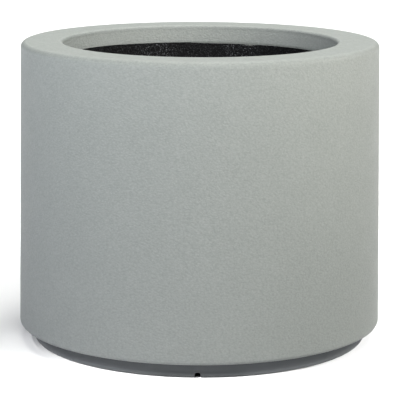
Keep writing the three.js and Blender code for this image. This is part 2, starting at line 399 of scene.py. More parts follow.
def make_paint():
    m = Nodes("textured_paint")
    height = paint_height(m)
    edge = m.value_of("edge")
    x, y, z = m.xyz()
    # Cavities are painted darker and crests lighter: painted shade and highlight on the pebbled relief. Slow clouds
    # come from the spray passes.
    cloud = m.span(m.noise(55.0, detail=2.0), 0.3, 0.7, -0.06, 0.06)
    relief_shade_and_cloud = m.math("ADD", m.span(height, 0.12, 0.86), cloud)
    colour = m.mix(relief_shade_and_cloud, PAINT_SHADED_CAVITY, PAINT_LIT_CREST)
    # Painted shade: the wall is darker towards the bottom and lighter just under the rim, and the flat of the rim is
    # painted much darker than the wall, a little more at the front, to offset the light that falls on it.
    level = m.span(z, 0.030, 0.490, 0.930, 1.065)
    level = m.math("MULTIPLY", level, m.span(z, 0.400, 0.495, 1.0, 1.05))
    level = m.math("MULTIPLY", level, m.span(z, 0.4990, 0.5045, 1.0, m.span(y, -0.30, -0.10, 0.665, 0.690)))
    level = m.math("MULTIPLY", level, m.span(z, 0.5068, 0.5079, 1.0, 1.01))
    # Darker low on the right.
    low_right = m.math("MULTIPLY", m.span(x, 0.05, 0.20, smooth=True), m.span(z, 0.34, 0.10, smooth=True))
    level = m.math("MULTIPLY", level, m.math("MULTIPLY_ADD", low_right, -0.07, 1.0))
    colour = m.tinted(colour, level)
    # Handling has polished the rounded edges.
    scuff = m.math("MULTIPLY", edge, m.span(m.noise(14.0, detail=3.0), 0.45, 0.75), clamp=True)
    colour = m.mix(m.math("MULTIPLY", scuff, 0.12), colour, (0.50, 0.525, 0.495))
    # Dust settles low on the wall.
    low = m.math("MULTIPLY", m.span(z, 0.12, 0.03, smooth=True), m.span(m.noise(22.0, detail=3.0), 0.40, 0.80))
    colour = m.mix(m.math("MULTIPLY", low, 0.10), colour, (0.40, 0.40, 0.36))
    # On the left of the lip the black coat laps up over the edge by up to 3 mm.
    ragged = m.math("MULTIPLY_ADD", m.math("SUBTRACT", m.noise(5.0, detail=3.0), 0.5), 0.0010, z)
    radius = m.math("SQRT", m.math("ADD", m.math("MULTIPLY", x, x), m.math("MULTIPLY", y, y)))
    lap = m.span(x, -0.03, -0.21, 0.4769, 0.4792, smooth=True)
    covered = m.math("MULTIPLY", m.math("LESS_THAN", ragged, lap), m.math("LESS_THAN", radius, 0.2355))
    colour = m.mix(covered, colour, BLACK)
    rough = m.span(m.noise(11.0, detail=3.0), 0.3, 0.7, 0.52, 0.64)
    rough = m.math("MULTIPLY_ADD", edge, -0.07, rough)
    m.set(Base_Color=colour, Roughness=rough)
    m.shader.inputs["Specular IOR Level"].default_value = 0.38
    # The spray built up thicker inside the lip.
    inside = m.span(radius, 0.240, 0.232)
    height = m.math("MULTIPLY", height, m.math("MULTIPLY_ADD", inside, 1.3, 1.0))
    waves = m.bump(m.noise(34.0, detail=1.0), 0.6, 0.30)
    m.set(Normal=m.bump(height, 1.0, 0.38, under=waves))
    return m.material


def make_black():
    m = Nodes("black_flowcoat")
    height = black_height(m)
    x, y, z = m.xyz()
    # Painted highlights: light grey specks in the black's colour stand for glints.
    glint_specks = m.span(m.noise(1.9, detail=1.0, rough=0.7), 0.56, 0.72)
    glint_specks = m.math("MULTIPLY", glint_specks, m.span(m.noise(7.0, detail=2.0), 0.35, 0.65, 0.35, 1.0))
    # Light specks painted into the black stand for glints on the rough coat, a painted highlight; two stretches of
    # the back get more of them.
    left = m.math("MULTIPLY", m.span(x, -0.125, -0.085, smooth=True), m.span(x, -0.035, -0.065, smooth=True))
    right = m.math("MULTIPLY", m.span(x, 0.030, 0.055, smooth=True), m.span(x, 0.110, 0.085, smooth=True))
    back = m.span(y, 0.10, 0.17, smooth=True)
    glint_share = m.math("MULTIPLY_ADD", m.math("MULTIPLY", m.math("ADD", left, right), back), 0.60, 0.28)
    haze = m.span(m.noise(60.0, detail=3.0), 0.35, 0.75)
    colour = m.mix(m.math("MULTIPLY", glint_specks, glint_share), m.mix(haze, (0.0035, 0.0036, 0.0040), BLACK), (0.300, 0.312, 0.325))
    # The light paint laps down over the top of the black by a millimetre or so.
    ragged = m.math("MULTIPLY_ADD", m.math("SUBTRACT", m.noise(6.5, detail=3.0), 0.5), 0.0012, z)
    edge_z = m.span(x, 0.02, -0.06, 0.4762, 0.4780, smooth=True)
    grey = m.math("GREATER_THAN", ragged, edge_z)
    # Overspray: a soft patch on the back, right of the middle.
    dx = m.math("MULTIPLY", m.math("SUBTRACT", x, 0.088), 1 / 0.016)
    dz = m.math("MULTIPLY", m.math("SUBTRACT", 0.4775, z), 1 / 0.0052)
    away = m.math("ADD", m.math("MULTIPLY", dx, dx), m.math("MULTIPLY", dz, dz))
    there = m.math("MULTIPLY", m.span(away, 1.0, 0.0, smooth=True), m.math("GREATER_THAN", y, 0.0))
    dusty = m.math("MULTIPLY", there, m.span(m.noise(2.0, detail=2.0), 0.35, 0.60))
    colour = m.mix(m.math("MULTIPLY", dusty, 0.75), colour, PAINT)
    colour = m.mix(grey, colour, PAINT)
    rough = m.span(m.noise(5.0, detail=3.0), 0.3, 0.7, 0.26, 0.52)
    rough = m.math("MULTIPLY_ADD", grey, 0.2, rough)
    m.set(Base_Color=colour, Roughness=rough)
    m.shader.inputs["Specular IOR Level"].default_value = 0.15
    m.set(Normal=m.bump(height, 1.0, 0.75))
    return m.material


def make_foot():
    m = Nodes("foot_paint")
    x, y, z = m.xyz()
    height = m.math("MULTIPLY_ADD", m.noise(9.0, detail=2.0), 1.0, m.math("MULTIPLY", m.noise(2.8, detail=2.0), 0.25))
    cloud = m.noise(45.0, detail=3.0)
    # Painted shade: the foot's colour is far darker than the shell's paint and stands for the shade under the
    # overhang; it varies at random in clouds.
    colour = m.mix(m.span(cloud, 0.3, 0.7), (0.074, 0.080, 0.082), (0.087, 0.093, 0.095))
    # Its lower half is painted lighter towards the sides and darker beside the notch: painted bounce light from the
    # floor.
    painted_bounce = m.span(m.math("ABSOLUTE", x), 0.03, 0.13, 0.82, 1.22, smooth=True)
    colour = m.tinted(colour, m.span(z, 0.016, 0.010, 1.0, painted_bounce, smooth=True))
    # Patchy and lighter on the rounded bottom 10 mm: partly scuffs, partly painted bounce light from the floor.
    scuff = m.math("MULTIPLY", m.span(z, 0.010, 0.001, smooth=True), m.span(m.noise(9.0, detail=4.0), 0.42, 0.66))
    colour = m.mix(m.math("MULTIPLY", scuff, 0.35), colour, (0.125, 0.128, 0.128))
    m.set(Base_Color=colour, Roughness=m.span(m.noise(8.0, detail=3.0), 0.3, 0.7, 0.56, 0.72))
    m.shader.inputs["Specular IOR Level"].default_value = 0.15
    m.set(Normal=m.bump(height, 0.5, 0.30))
    return m.material


def make_laminate():
    """Chopped-strand laminate: short fibres in every direction in amber resin."""
    m = Nodes("bare_laminate")
    strands = []
    for k, turn in enumerate((0.3, 1.2, 2.0, 2.8)):
        v = m.scaled((1.0, 9.0, 9.0), (0.13 * k, 0.21 * k, 0.05 * k), (0.2 * k, 0.35 * k, turn))
        strands.append(m.noise(22.0, detail=1.5, rough=0.5, vector=v))
    top = m.math("MAXIMUM", m.math("MAXIMUM", strands[0], strands[1]), m.math("MAXIMUM", strands[2], strands[3]))
    colour = m.mix(m.span(top, 0.52, 0.72), (0.20, 0.175, 0.085), (0.40, 0.385, 0.27))
    colour = m.mix(m.span(m.noise(80.0, detail=3.0), 0.4, 0.7, 0.0, 0.35), colour, (0.26, 0.20, 0.09))
    m.set(Base_Color=colour, Roughness=m.span(top, 0.5, 0.75, 0.32, 0.58))
    m.set(Normal=m.bump(top, 0.7, 0.6))
    return m.material


def make_ply():
    """Plywood: thin veneers seen on the sawn edges, grain on the faces."""
    m = Nodes("plywood")
    x, y, z = m.xyz()
    grain = m.noise(60.0, detail=4.0, rough=0.6, distortion=0.4, vector=m.scaled((1.0, 14.0, 1.0)))
    face = m.mix(m.span(grain, 0.35, 0.68), (0.50, 0.33, 0.17), (0.34, 0.205, 0.095))
    ply = m.math("FRACT", m.math("MULTIPLY", z, 1 / 0.0042))
    veneer = m.math("LESS_THAN", ply, 0.5)
    glue = m.math("LESS_THAN", m.math("ABSOLUTE", m.math("SUBTRACT", m.math("FRACT", m.math("MULTIPLY", z, 1 / 0.0021)), 0.5)), 0.06)
    flat = m.tree.nodes.new("ShaderNodeNewGeometry").outputs["Normal"]
    up = m.math("ABSOLUTE", m.xyz(flat)[2])
    pores = m.noise(1.6, detail=2.0)
    edge = m.mix(veneer, (0.44, 0.29, 0.15), (0.27, 0.165, 0.08))
    edge = m.mix(m.math("MULTIPLY", glue, 0.7), edge, (0.10, 0.055, 0.03))
    edge = m.mix(m.span(pores, 0.5, 0.75, 0.0, 0.45), edge, (0.18, 0.11, 0.055))
    m.set(Base_Color=m.mix(m.math("GREATER_THAN", up, 0.6), edge, face))
    m.set(Roughness=m.span(grain, 0.3, 0.7, 0.62, 0.80))
    m.set(Normal=m.bump(m.math("ADD", grain, m.math("MULTIPLY", pores, 0.5)), 0.4, 0.45))
    return m.material


def make_foam():
    m = Nodes("foam_core")
    cell = m.cells(1.7, feature="F1")
    colour = m.mix(m.span(cell, 0.1, 0.7), (0.46, 0.40, 0.26), (0.72, 0.66, 0.48))
    colour = m.mix(m.span(m.noise(40.0, detail=3.0), 0.4, 0.7, 0.0, 0.3), colour, (0.58, 0.50, 0.32))
    m.set(Base_Color=colour, Roughness=m.span(cell, 0.0, 0.8, 0.95, 0.82))
    m.set(Normal=m.bump(cell, 0.5, 0.7))
    return m.material


def make_nylon():
    m = Nodes("black_nylon")
    grain = m.noise(0.8, detail=2.0)
    flow = m.noise(12.0, detail=2.0)
    colour = m.mix(m.span(flow, 0.35, 0.7), (0.016, 0.016, 0.018), (0.030, 0.031, 0.034))
    m.set(Base_Color=colour, Roughness=m.span(grain, 0.3, 0.7, 0.34, 0.48))
    m.set(Normal=m.bump(grain, 0.06, 0.5))
    return m.material


def make_rubber():
    m = Nodes("black_rubber")
    grain = m.noise(0.7, detail=3.0)
    bloom = m.noise(7.0, detail=3.0)
    colour = m.mix(m.span(bloom, 0.45, 0.75), (0.014, 0.014, 0.015), (0.036, 0.036, 0.037))
    m.set(Base_Color=colour, Roughness=m.span(grain, 0.3, 0.7, 0.66, 0.84))
    m.shader.inputs["Specular IOR Level"].default_value = 0.35
    m.set(Normal=m.bump(grain, 0.10, 0.6))
    return m.material


def make_steel():
    m = Nodes("stainless_steel")
    drawn = m.noise(9.0, detail=3.0, vector=m.scaled((1.0, 1.0, 12.0)))
    spots = m.noise(2.0, detail=2.0)
    colour = m.mix(m.span(drawn, 0.35, 0.7), (0.52, 0.52, 0.53), (0.66, 0.66, 0.67))
    m.set(Base_Color=colour, Roughness=m.span(spots, 0.35, 0.7, 0.20, 0.36))
    m.shader.inputs["Metallic"].default_value = 1.0
    m.set(Normal=m.bump(drawn, 0.05, 0.5))
    return m.material


FINISH = {
    "textured_paint": make_paint(),
    "black_flowcoat": make_black(),
    "foot_paint": make_foot(),
    "bare_laminate": make_laminate(),
    "plywood": make_ply(),
    "foam_core": make_foam(),
    "black_nylon": make_nylon(),
    "black_rubber": make_rubber(),
    "stainless_steel": make_steel(),
}


def finish(obj, slot, body="planter", nodes=()):
    obj.data.materials.clear()
    obj.data.materials.append(FINISH[slot])
    return placed(obj, body, slot, *nodes)


# ---------------------------------------------------------------- outer shell
WALL_LOW = FOOT_H + BOTTOM_EDGE_R
WALL_HIGH = HEIGHT - RIM_EDGE_R
BACK_R = LIP_R + SKIN
LIP_BOTTOM = HEIGHT - LIP_DEPTH
SHELL_SEGMENTS = 400


def shell_profile():
    out = line((FLANGE_R, FOOT_H), (BASE_R - BOTTOM_EDGE_R, FOOT_H), 8)
    out += arc(BASE_R - BOTTOM_EDGE_R, WALL_LOW, BOTTOM_EDGE_R, -90, 0, 9)
    out += line((BASE_R, WALL_LOW), (RIM_R, WALL_HIGH), 148)
    out += arc(RIM_R - RIM_EDGE_R, WALL_HIGH, RIM_EDGE_R, 0, 90, 12)
    out += line((RIM_R - RIM_EDGE_R, HEIGHT), (LIP_R + LIP_EDGE_R, HEIGHT), 19)
    out += arc(LIP_R + LIP_EDGE_R, HEIGHT - LIP_EDGE_R, LIP_EDGE_R, 90, 180, 8)
    out += line((LIP_R, HEIGHT - LIP_EDGE_R), (LIP_R, LIP_BOTTOM + 0.8), 8)
    out += arc(LIP_R + 0.8, LIP_BOTTOM + 0.8, 0.8, 180, 270, 3)
    out += line((LIP_R + 0.8, LIP_BOTTOM), (BACK_R, LIP_BOTTOM), 2)
    out += line((BACK_R, LIP_BOTTOM), (BACK_R, HEIGHT - LIP_EDGE_R), 3)
    out += line((BACK_R + 0.5, HEIGHT - SKIN), (RIM_R - RIM_EDGE_R, HEIGHT - SKIN), 5)
    out += arc(RIM_R - RIM_EDGE_R, WALL_HIGH, RIM_EDGE_R - SKIN, 90, 0, 3)
    out += line((RIM_R - SKIN, WALL_HIGH), (BASE_R - SKIN, WALL_LOW), 12)
    out += arc(BASE_R - BOTTOM_EDGE_R, WALL_LOW, BOTTOM_EDGE_R - SKIN, 0, -90, 2)
    out += line((BASE_R - BOTTOM_EDGE_R, FOOT_H + SKIN), (FLANGE_R, FOOT_H + SKIN), 3)
    return out


def shell_shift(r, z, t):
    """Slow waves of the moulding and the soft lumps of the sprayed texture, on the outside only."""
    outside = (r > 287.0) & (z > WALL_LOW + 2) & (z < WALL_HIGH - 1) & (r > RIM_R - 4)
    top = (z > HEIGHT - 0.5) & (r > LIP_R + LIP_EDGE_R + 1) & (r < RIM_R - RIM_EDGE_R - 1)
    waves = 0.16 * field(r, z, t, 95.0, 3.0)
    lumps = 0.075 * field(r, z, t, 13.0, 9.0)
    r = r + np.where(outside, waves + lumps, 0.0)
    z = z + np.where(top, 0.6 * waves + 0.5 * lumps - 0.06, 0.0)
    return r, z


shell = turned("outer_shell_skin", shell_profile(), SHELL_SEGMENTS, shell_shift, sharp=50)
co = np.empty(len(shell.data.vertices) * 3)
shell.data.vertices.foreach_get("co", co)
co = co.reshape(-1, 3) / MM
rr = np.hypot(co[:, 0], co[:, 1])


def near_arc(r0, z0, radius, spread, side):
    d = np.abs(np.hypot(rr - r0, co[:, 2] - z0) - radius)
    inside = side(rr - r0, co[:, 2] - z0)
    return np.where(inside, np.clip(1 - d / spread, 0, 1), 0)


edge = np.maximum.reduce(
    [
        near_arc(RIM_R - RIM_EDGE_R, WALL_HIGH, RIM_EDGE_R, 1.0, lambda a, b: (a > -1) & (b > -1)),
        near_arc(LIP_R + LIP_EDGE_R, HEIGHT - LIP_EDGE_R, LIP_EDGE_R, 1.0, lambda a, b: (a < 1) & (b > -1)),
        near_arc(BASE_R - BOTTOM_EDGE_R, WALL_LOW, BOTTOM_EDGE_R, 1.0, lambda a, b: (a > -1) & (b < 1)),
    ]
)
point_values(shell, "edge", edge)
finish(shell, "textured_paint", nodes=("outer_shell",))

# ---------------------------------------------------------------- inner liner
LINER_TOP = LIP_BOTTOM - GAP


def liner_profile():
    out = line((TUBE_R + 0.6, FLOOR_TOP), (DRAIN_FLANGE_R + 4, FLOOR_TOP), 5)
    out += line((DRAIN_FLANGE_R + 4, FLOOR_TOP), (LINER_BASE_R - LINER_CORNER_R, FLOOR_EDGE_TOP), 40)
    out += arc(LINER_BASE_R - LINER_CORNER_R, FLOOR_EDGE_TOP + LINER_CORNER_R, LINER_CORNER_R, -90, 0, 10)
    out += line((LINER_BASE_R, FLOOR_EDGE_TOP + LINER_CORNER_R), (LIP_R, LINER_TOP), 112)
    out += line((LIP_R, LINER_TOP), (BACK_R, LINER_TOP), 2)
    out += line((BACK_R, LINER_TOP), (LINER_BASE_R + SKIN, FLOOR_BOTTOM + LINER_CORNER_R + 6), 10)
    out += arc(LINER_BASE_R + SKIN - LINER_CORNER_R - 6, FLOOR_BOTTOM + LINER_CORNER_R + 6, LINER_CORNER_R + 6, 0, -90, 6)
    out += line((LINER_BASE_R + SKIN - LINER_CORNER_R - 6, FLOOR_BOTTOM), (TUBE_R + 0.6, FLOOR_BOTTOM), 5)
    return out


def liner_shift(r, z, t):
    """The rough coat's lumps, on the inside only, fading out at the lip and the drain."""
    wall = (z > 90) & (z < LINER_TOP - 1) & (r < BACK_R - 3)
    wall &= r < LINER_BASE_R + (LIP_R - LINER_BASE_R) * (z - 86) / 391 + 1.5
    floor = (z > FLOOR_TOP - 0.5) & (z < 68) & (r > 40) & (r < 200)
    n = 0.12 * field(r, z, t, 9.0, 5.0) + 0.2 * field(r, z, t, 60.0, 7.0)
    fade = np.clip((LINER_TOP - z) / 12.0, 0, 1)
    r = r - np.where(wall, np.abs(n) * fade, 0.0)
    z = z + np.where(floor, np.abs(n) * 0.7, 0.0)
    return r, z


liner = turned("inner_liner_skin", liner_profile(), 320, liner_shift, sharp=50)
finish(liner, "black_flowcoat", nodes=("inner_liner",))

# ---------------------------------------------------------------- foot
FOOT_TOP = FOOT_H - GAP


def foot_profile():
    out = line((FOOT_R - FOOT_W, FOOT_TOP), (FOOT_R - FOOT_W, 1.5), 6)
    out += line((FOOT_R - FOOT_W + 1.5, 0.0), (FOOT_R - FOOT_EDGE_R, 0.0), 3)
    out += arc(FOOT_R - FOOT_EDGE_R, FOOT_EDGE_R, FOOT_EDGE_R, -90, 0, 12)
    out += line((FOOT_R, FOOT_EDGE_R), (FOOT_R, FOOT_TOP - 0.5), 8)
    out += line((FOOT_R - 0.5, FOOT_TOP), (FOOT_R - FOOT_W, FOOT_TOP), 3)
    return out


def notch_outline():
    """The drain notch's arch in (across, height), mm, below the floor at its open side."""

    def curve(p, c, q, steps=10):
        return [
            (
                p[0] * (1 - t) ** 2 + 2 * c[0] * t * (1 - t) + q[0] * t * t,
                p[1] * (1 - t) ** 2 + 2 * c[1] * t * (1 - t) + q[1] * t * t,
            )
            for t in (i / steps for i in range(1, steps + 1))
        ]

    # A little higher than in the frame, as the photograph shows it above the rounded edge.
    w, h = NOTCH_W, NOTCH_H + 1.5
    out = [(-w * 0.62, -2.0)]
    out += curve(out[-1], (-w * 0.40, 0.6), (-w * 0.35, h * 0.5))
    out += curve(out[-1], (-w * 0.31, h), (-w * 0.13, h))
    out += [(w * 0.13, h)]
    out += curve(out[-1], (w * 0.31, h), (w * 0.35, h * 0.5))
    out += curve(out[-1], (w * 0.40, 0.6), (w * 0.62, -2.0))
    return out


foot = turned("foot_ring_skin", foot_profile(), 360, sharp=40)
outline = notch_outline()
for k in range(4):
    turn = Matrix.Rotation(k * math.pi / 2, 3, "Z")
    near, far = -(FOOT_R + 6), -(FOOT_R - FOOT_W - 6)
    points = [turn @ Vector((x * MM, y * MM, z * MM)) for y in (near, far) for x, z in outline]
    n = len(outline)
    faces = [tuple(range(n))[::-1], tuple(range(n, 2 * n))]
    faces += [(i, (i + 1) % n, n + (i + 1) % n, n + i) for i in range(n)]
    cutter = mesh_object("cutter", points, faces, 0)
    bm = bmesh.new()
    bm.from_mesh(cutter.data)
    bmesh.ops.recalc_face_normals(bm, faces=bm.faces)
    bm.to_mesh(cutter.data)
    bm.free()
    boolean(foot, cutter, "DIFFERENCE")
bevel = foot.modifiers.new("arris", "BEVEL")
bevel.width = 0.7 * MM
bevel.segments = 3
bevel.limit_method = "ANGLE"
bevel.angle_limit = math.radians(50)
bevel.use_clamp_overlap = True
applied(foot)
smooth(foot, 45)
finish(foot, "foot_paint", nodes=("foot_ring",))

# ---------------------------------------------------------------- cores and strips inside the walls
band_r = BACK_R + GAP + 0.1
band_top = HEIGHT - SKIN - 7.5


def band_shift(r, z, t):
    """A hand-laid strip: ragged top and bottom edges, uneven thickness."""
    low = z < band_top - 20
    end = (z < band_top - 36) | (z > band_top - 6)
    drift = 0.9 * field(r * 0 + 230, r * 0, t, 30.0, 4.0) + 0.4 * field(r * 0 + 230, r * 0, t, 9.0, 6.0)
    z = z + np.where(end, np.where(low, np.abs(drift), -np.abs(drift)), 0.0)
    proud = r > band_r + 2.5
    r = r - np.where(proud, 0.8 * np.abs(field(r, z, t, 12.0, 2.0)), 0.0)
    return r, z


band = turned(
    "lip_joint_strip",
    line((band_r, band_top - 43), (band_r + 4.5, band_top - 40), 3)
    + line((band_r + 4.5, band_top - 40), (band_r + 4.5, band_top), 10)
    + line((band_r + 4.5, band_top), (band_r, band_top), 3)
    + line((band_r, band_top), (band_r, band_top - 43), 6),
    256,
    band_shift,
)
finish(band, "bare_laminate", nodes=("lip_joint_band",))

core_top = HEIGHT - SKIN - GAP


def ply_edge(r0, r1, z0, z1, plies):
    """A sawn plywood ring: each veneer's edge stands a hair in or out."""
    step = (z1 - z0) / plies
    outer, inner = [], []
    for k in range(plies):
        d = 0.12 if k % 2 else 0.0
        outer += [(r1 - d, z0 + k * step + 0.15), (r1 - d, z0 + (k + 1) * step - 0.15)]
        inner += [(r0 + d, z0 + k * step + 0.15), (r0 + d, z0 + (k + 1) * step - 0.15)]
    return [(r0 + 0.5, z0), (r1 - 0.5, z0)] + outer + [(r1 - 0.5, z1), (r0 + 0.5, z1)] + inner[::-1]


rim_core = turned("rim_core_ring", ply_edge(band_r + 5.7, RIM_R - SKIN - 5.5, core_top - 18, core_top, 9), 256)
finish(rim_core, "plywood", nodes=("rim_core",))


def wall_r(z):
    return BASE_R + (RIM_R - BASE_R) * (z - WALL_LOW) / (WALL_HIGH - WALL_LOW)


for node, mid in (("wall_hoop_lower", 188.0), ("wall_hoop_upper", 340.0)):
    face = lambda h: wall_r(h) - SKIN - GAP - 0.1
    corners = [
        (face(mid - 23), mid - 23),
        (face(mid + 23), mid + 23),
        (face(mid) - 24, mid + 12),
        (face(mid) - 24, mid - 12),
    ]
    hoop = turned(node + "_foam", rounded(corners, 2.2, 4), 256)
    finish(hoop, "foam_core", nodes=(node,))

# ---------------------------------------------------------------- base
panel_bottom = FOOT_H + SKIN + GAP


def panel_shift(r, z, t):
    """The mat's lumps on the underside."""
    under = (z < panel_bottom + 0.5) & (r > 35) & (r < 245)
    return r, z + np.where(under, 0.35 * np.abs(field(r, z, t, 11.0, 8.0)), 0.0)


panel = turned(
    "base_panel_skin",
    line((17.6, panel_bottom), (289 - 0.8, panel_bottom), 60)
    + line((289, panel_bottom + 0.8), (289, panel_bottom + 9.2), 2)
    + line((289 - 0.8, panel_bottom + 10), (17.6, panel_bottom + 10), 8)
    + line((17, panel_bottom + 9.4), (17, panel_bottom + 0.6), 2),
    256,
    panel_shift,
)
finish(panel, "bare_laminate", nodes=("base_panel",))

floor_core = turned(
    "floor_core_disc", ply_edge(17.0, 188.0, panel_bottom + 10 + GAP, FLOOR_BOTTOM - GAP, 7), 256
)
finish(floor_core, "plywood", nodes=("floor_core",))


# ---------------------------------------------------------------- drain
def thread(r, z, t, low, high, crest, depth, pitch, fade=1.5):
    """A helical thread cut depth mm into radius crest between two heights."""
    phase = np.mod(z / pitch - t / (2 * math.pi), 1.0)
    tooth = np.clip(np.abs(phase - 0.5) * 4 - 0.5, 0, 1)
    share = np.clip((z - low) / fade, 0, 1) * np.clip((high - z) / fade, 0, 1)
    return np.where((np.abs(r - crest) < 0.02) & (z >= low) & (z <= high), depth * tooth * share, 0.0)


def spigot_shift(r, z, t):
    return r - thread(r, z, t, 15.0, 32.4, TUBE_R, 0.85, 2.0), z


spigot = turned(
    "drain_spigot_body",
    [(BORE_R + 0.4, TUBE_BOTTOM), (TUBE_R - 0.9, TUBE_BOTTOM)]
    + line((TUBE_R, TUBE_BOTTOM + 1.0), (TUBE_R, 33.0), 90)
    + line((TUBE_R, 33.0), (TUBE_R, FLANGE_BOTTOM - 0.4), 4)
    + [(TUBE_R + 0.4, FLANGE_BOTTOM)]
    + line((TUBE_R + 0.8, FLANGE_BOTTOM), (DRAIN_FLANGE_R - 0.4, FLANGE_BOTTOM), 3)
    + arc(DRAIN_FLANGE_R - 0.4, FLANGE_BOTTOM + 0.4, 0.4, -90, 0, 3)
    + arc(DRAIN_FLANGE_R - 1.4, FLANGE_TOP - 1.4, 1.4, 0, 90, 6)
    + [(25.0, FLANGE_TOP), (24.7, FLANGE_TOP - 0.25), (24.0, FLANGE_TOP - 0.25), (23.7, FLANGE_TOP)]
    + [(20.4, FLANGE_TOP)]
    + arc(SEAT_R + 0.7, FLANGE_TOP - 0.7, 0.7, 90, 180, 4)
    + line((SEAT_R, FLANGE_TOP - 0.7), (BORE_R, FLANGE_TOP - 11.3), 6)
    + line((BORE_R, FLANGE_TOP - 11.3), (BORE_R, TUBE_BOTTOM + 0.4), 8),
    120,
    spigot_shift,
    sharp=28,
)
finish(spigot, "black_nylon", nodes=("drain_spigot",))

gasket = turned(
    "drain_gasket_ring",
    rounded([(15.3, 62.3), (26.5, 62.3), (26.5, 64.0), (15.3, 64.0)], 0.45, 4),
    120,
)
finish(gasket, "black_rubber", nodes=("drain_gasket",))
washer_top = panel_bottom - GAP
washer = turned(
    "drain_washer_ring",
    rounded([(15.3, washer_top - 2.5), (28, washer_top - 2.5), (28, washer_top), (15.3, washer_top)], 0.5, 4),
    120,
)
finish(washer, "black_rubber", nodes=("drain_washer",))

nut_top = washer_top - 2.5 - GAP
nut_low = nut_top - 11


def nut_shift(r, z, t):
    """Six flats with chamfered corners outside, a thread inside."""
    half = math.pi / 3
    a = np.mod(t + half / 2, half) - half / 2
    hexagon = 23.0 / np.cos(a)
    corner = 23.0 / math.cos(math.pi / 6)
    cone_low = corner - 3 + (z - nut_low + 1.0) * 3.5 / 3.0
    cone_high = corner - 1.2 + (nut_top - z) * 1.6
    flats = np.minimum(np.minimum(hexagon, cone_low), cone_high)
    r2 = np.where(r > 20.5, np.minimum(r, flats), r)
    inner = r < 15.5
    phase = np.mod(z / 2.0 - t / (2 * math.pi), 1.0)
    tooth = np.clip(np.abs(phase - 0.5) * 4 - 0.5, 0, 1)
    share = np.clip((z - nut_low - 0.4) / 1.2, 0, 1) * np.clip((nut_top - 0.4 - z) / 1.2, 0, 1)
    return r2 + np.where(inner, 0.75 * (1 - tooth) * share + 0.5 * (1 - share), 0.0), z


nut = turned(
    "drain_nut_hex",
    line((15.3, nut_low), (20.0, nut_low), 3)
    + line((20.6, nut_low), (27.0, nut_low), 3)
    + line((27.0, nut_low), (27.0, nut_top), 22)
    + line((27.0, nut_top), (20.6, nut_top), 3)
    + line((20.0, nut_top), (15.3, nut_top), 3)
    + line((15.3, nut_top), (15.3, nut_low), 56),
    240,
    nut_shift,
    sharp=24,
)
finish(nut, "black_nylon", nodes=("drain_nut",))

# Plug: tapered bung, flat head with a moulded ring, and a lug with an eye.
head = FLANGE_TOP + GAP
plug = turned_solid(
    "drain_plug_body",
    [(0, head - 13.2), (9.6, head - 13.2)]
    + arc(10.2, head - 12.4, 0.9, -70, -10, 4)
    + line((11.3, head - 11.6), (SEAT_R - 0.5, head - 1.2), 10)
    + [(SEAT_R - 0.5, head - 0.3), (SEAT_R - 0.2, head)]
    + line((SEAT_R + 0.2, head), (18.4, head), 3)
    + arc(18.4, head + 0.6, 0.6, -80, 0, 4)
    + [(19.0, head + 2.6)]
    + arc(17.5, head + 2.7, 1.5, 10, 80, 6)
    + [(16.4, head + 4.3), (15.9, head + 4.05), (15.2, head + 4.05), (14.7, head + 4.5)]
    + [(12.0, head + 4.95), (9.0, head + 5.1), (0, head + 5.2)],
    120,
    sharp=30,
)


def lug_object():
    """An upright tab, 6 mm thick, with a 5.4 mm eye and soft arrises."""
    data = bpy.data.curves.new("lug", "CURVE")
    data.dimensions = "2D"
    data.fill_mode = "BOTH"
    soft = 0.7 * MM
    data.extrude = 3.0 * MM - soft
    data.bevel_depth = soft
    data.bevel_resolution = 3
    data.offset = -soft
    low = head + 3.6

    def quad(p, c, q, steps=8):
        return [
            (
                p[0] * (1 - t) ** 2 + 2 * c[0] * t * (1 - t) + q[0] * t * t,
                p[1] * (1 - t) ** 2 + 2 * c[1] * t * (1 - t) + q[1] * t * t,
            )
            for t in (i / steps for i in range(1, steps + 1))
        ]

    outer = [(-7.5, low), (7.5, low)]
    outer += quad(outer[-1], (5.6, head + 6.4), (5.4, LUG_HOLE_Z))
    outer += [
        (5.4 * math.cos(a), LUG_HOLE_Z + 5.4 * math.sin(a))
        for a in (math.pi * i / 24 for i in range(1, 25))
    ]
    outer += quad(outer[-1], (-5.6, head + 6.4), (-7.5, low))[:-1]
    eye = [
        (2.7 * math.cos(a), LUG_HOLE_Z + 2.7 * math.sin(a))
        for a in (2 * math.pi * i / 32 for i in range(32))
    ]
    for ring in (outer, eye[::-1]):
        s = data.splines.new("POLY")
        s.points.add(len(ring) - 1)
        for p, (a, b) in zip(s.points, ring):
            p.co = (a * MM, b * MM, 0, 1)
        s.use_cyclic_u = True
    curve = bpy.data.objects.new("lug", data)
    scene.collection.objects.link(curve)
    bpy.context.view_layer.update()
    graph = bpy.context.evaluated_depsgraph_get()
    mesh = bpy.data.meshes.new_from_object(curve.evaluated_get(graph))
    bpy.data.objects.remove(curve)
    # The outline's plane stands upright, facing +X.
    mesh.transform(Matrix(((0, 0, 1, 0), (1, 0, 0, 0), (0, 1, 0, 0), (0, 0, 0, 1))))
    bm = bmesh.new()
    bm.from_mesh(mesh)
    bmesh.ops.remove_doubles(bm, verts=bm.verts, dist=1e-6)
    bmesh.ops.recalc_face_normals(bm, faces=bm.faces)
    bm.to_mesh(mesh)
    bm.free()
    obj = bpy.data.objects.new("lug", mesh)
    scene.collection.objects.link(obj)
    return obj


boolean(plug, lug_object(), "UNION")
smooth(plug, 32)
finish(plug, "black_rubber", "plug", ("drain_plug",))

